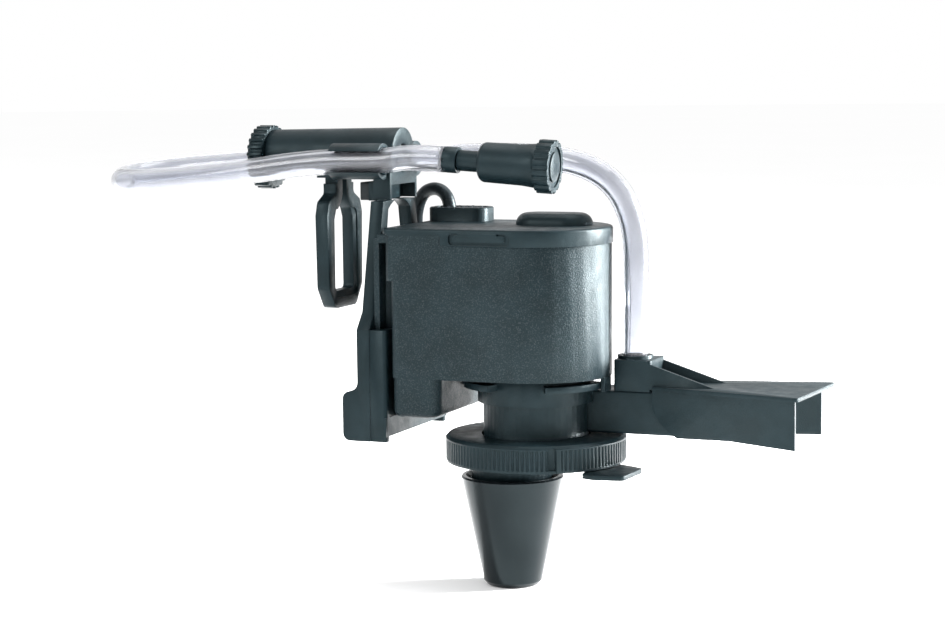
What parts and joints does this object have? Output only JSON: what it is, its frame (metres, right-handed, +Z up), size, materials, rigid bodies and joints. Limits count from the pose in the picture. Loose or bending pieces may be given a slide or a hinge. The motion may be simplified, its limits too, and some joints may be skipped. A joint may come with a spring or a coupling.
{
  "type": "aquarium powerhead pump",
  "caption": "Hang-on submersible aquarium pump with a tank-rim clamp, air hose and valve, fan-shaped outlet deflector, knurled ring and rubber intake cone.",
  "frame": {"origin": "where the tank wall's inner face meets the underside of the clamp barrel, on the middle plane", "axes": "+X from the wall into the tank, towards the outlet; +Z up; +Y away from the air valve's side"},
  "size_m": [0.2349, 0.0957, 0.143],
  "materials": {
    "charcoal_plastic": "fine grain, satin",
    "black_rubber": "matte",
    "glossy_rubber": "smooth, semi-gloss",
    "clear_hose": "clear, flexible",
    "cable_jacket": "satin",
    "plug_moulding": "satin",
    "potting_resin": "rough poured",
    "white_plastic": "satin",
    "laminated_steel": "laminated",
    "stainless_steel": "satin",
    "copper_wire": "enamelled winding",
    "ceramic": "polished",
    "ferrite": "matte",
    "brass": "satin"
  },
  "bodies": {
    "hanger": {"hanger_frame": "charcoal_plastic", "clamp_pad": "black_rubber", "screw_bush": "charcoal_plastic", "air_hose": "clear_hose", "valve_collar": "charcoal_plastic", "valve_body": "charcoal_plastic"},
    "clamp_screw": {"clamp_screw": "charcoal_plastic", "clamp_knob": "charcoal_plastic", "screw_clip": "stainless_steel"},
    "clamp_jaw": {"clamp_jaw": "charcoal_plastic", "jaw_nut": "brass"},
    "pump": {"motor_housing": "charcoal_plastic", "lid": "charcoal_plastic", "cable_potting": "potting_resin", "motor_potting": "potting_resin", "stator_core": "laminated_steel", "coil_bobbin": "white_plastic", "coil_winding": "copper_wire", "rotor_shaft": "ceramic", "upper_bush": "black_rubber", "lower_bush": "black_rubber", "casing_seal": "black_rubber", "pump_casing": "charcoal_plastic", "intake_plate": "charcoal_plastic", "cone_adaptor": "glossy_rubber", "outlet_deflector": "charcoal_plastic", "mains_cable": "cable_jacket", "cable_coil": "cable_jacket", "cable_tie": "white_plastic", "cable_tail": "cable_jacket", "mains_plug": "plug_moulding", "plug_pin_top": "brass", "plug_pin_bottom": "brass"},
    "rotor": {"rotor_magnet": "ferrite", "impeller": "white_plastic"},
    "locking_ring": {"locking_ring": "charcoal_plastic"},
    "flow_shutter": {"flow_shutter": "charcoal_plastic"},
    "valve_knob": {"valve_knob": "charcoal_plastic", "valve_needle": "white_plastic", "valve_seal": "black_rubber"}
  },
  "joints": [
    {"name": "screw_turn", "type": "hinge", "parent": "hanger", "child": "clamp_screw", "pos_m": [-0.036, 0, 0.0071], "axis": [1, 0, 0], "range_deg": [-973, 733]},
    {"name": "jaw_slide", "type": "slide", "parent": "hanger", "child": "clamp_jaw", "axis": [1, 0, 0], "range_m": [-0.0081, 0.0061]},
    {"name": "pump_lift", "type": "slide", "parent": "hanger", "child": "pump", "axis": [0, 0, 1], "range_m": [0, 0.01], "deforming": ["air_hose"]},
    {"name": "rotor_spin", "type": "hinge", "parent": "pump", "child": "rotor", "pos_m": [0.055, 0, -0.06], "axis": [0, 0, 1], "continuous": true},
    {"name": "ring_turn", "type": "hinge", "parent": "pump", "child": "locking_ring", "pos_m": [0.055, 0, -0.082], "axis": [0, 0, 1], "range_deg": [-30, 0]},
    {"name": "shutter_turn", "type": "hinge", "parent": "pump", "child": "flow_shutter", "pos_m": [0.047, 0, -0.087], "axis": [0, 0, 1], "range_deg": [-18, 18]},
    {"name": "valve_turn", "type": "hinge", "parent": "hanger", "child": "valve_knob", "pos_m": [0.06251, -0.01101, 0.00519], "axis": [0.9971, 0.0435, -0.0628], "range_deg": [-180, 180]}
  ],
  "couplings": [
    {"joint": "screw_turn", "follows": "jaw_slide", "rad_per_m": 2094.2}
  ]
}
